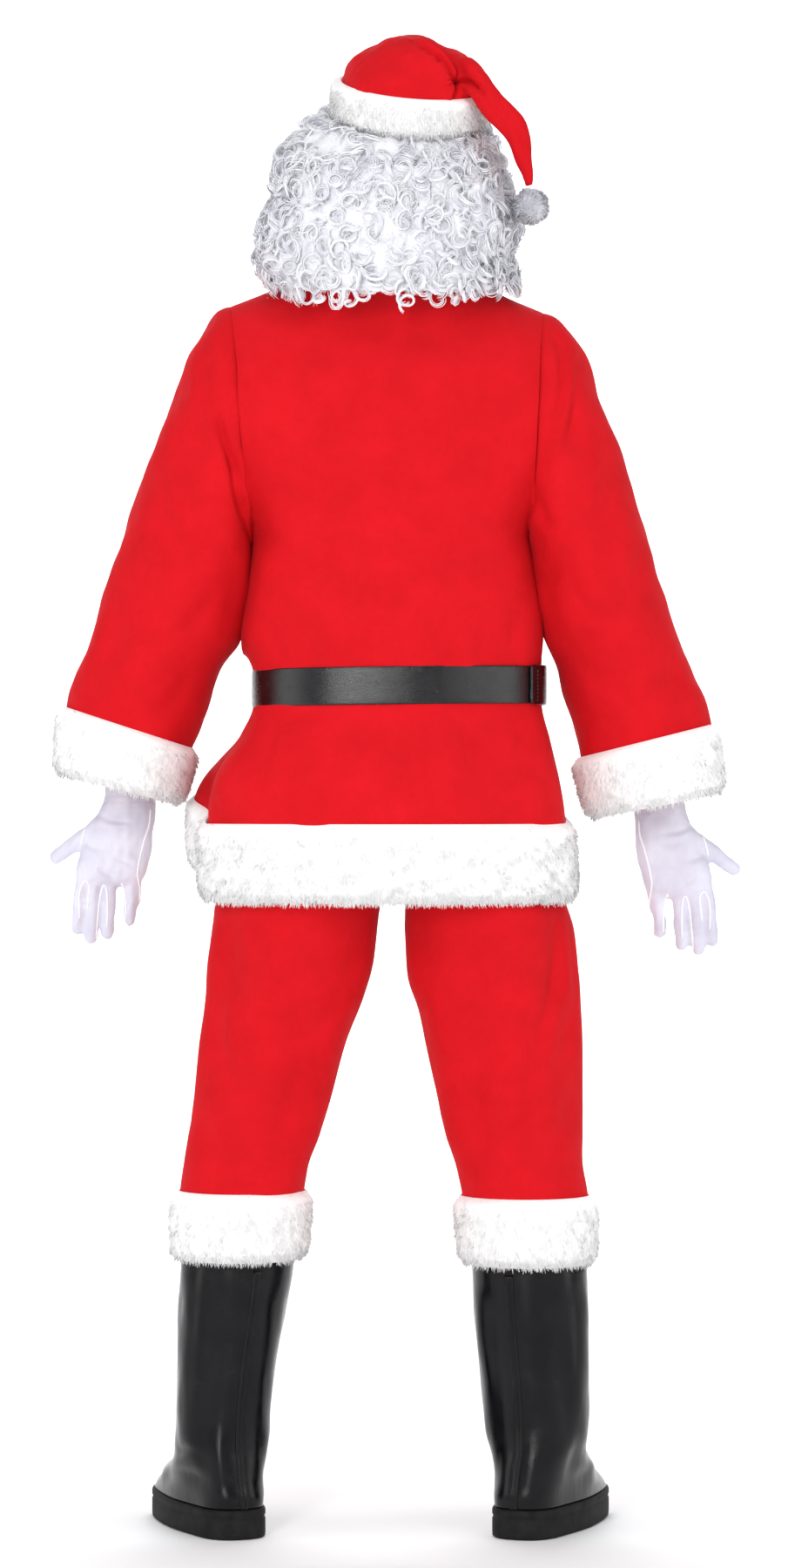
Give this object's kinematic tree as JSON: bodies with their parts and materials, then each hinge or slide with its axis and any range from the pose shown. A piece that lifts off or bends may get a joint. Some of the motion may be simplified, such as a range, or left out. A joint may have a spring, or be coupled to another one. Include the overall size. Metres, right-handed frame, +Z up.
{
  "type": "santa suit",
  "caption": "Worn santa suit, hollow: red plush jacket and trousers with white fur trim, belt, hat on a curly wig, gloves and boot covers.",
  "frame": {"origin": "on the wearer's shoulders, at the middle of the neck, 1.53 m above the ground under the soles", "axes": "+Z up; the wearer faces -Y, so the back is towards +Y; +X is the wearer's left"},
  "size_m": [0.8646, 0.3708, 1.838],
  "materials": {
    "plush": "red plush with a short soft pile",
    "fur": "white imitation fur",
    "leatherette": "black grained leatherette, soft gloss",
    "vinyl": "black smooth vinyl, glossy",
    "sole": "matte black rubber",
    "metal": "plain pale brass",
    "satin": "white stretch satin",
    "hair": "white curled fibre",
    "elastic": "red gathered elastic"
  },
  "bodies": {
    "root": {"jacket_back": "plush", "jacket_front_left": "plush", "jacket_front_right": "plush", "jacket_sleeve_left": "plush", "jacket_sleeve_right": "plush", "hem_fur_back": "fur", "hem_fur_front_left": "fur", "hem_fur_front_right": "fur", "sleeve_fur_left": "fur", "sleeve_fur_right": "fur", "belt_strap": "leatherette", "belt_lap": "leatherette", "belt_buckle": "metal", "belt_prong": "metal", "trousers_waistband": "elastic", "trousers_back_left": "plush", "trousers_front_left": "plush", "trousers_back_right": "plush", "trousers_front_right": "plush", "trouser_fur_left": "fur", "trouser_fur_right": "fur", "hat_crown": "plush", "hat_band": "fur", "hat_pompom": "fur", "wig_cap": "hair", "wig_curls": "hair", "boot_left": "vinyl", "boot_right": "vinyl", "boot_seam_left": "vinyl", "boot_seam_right": "vinyl", "boot_sole_left": "sole", "boot_sole_right": "sole", "glove_left": "satin", "glove_right": "satin"}
  },
  "joints": []
}
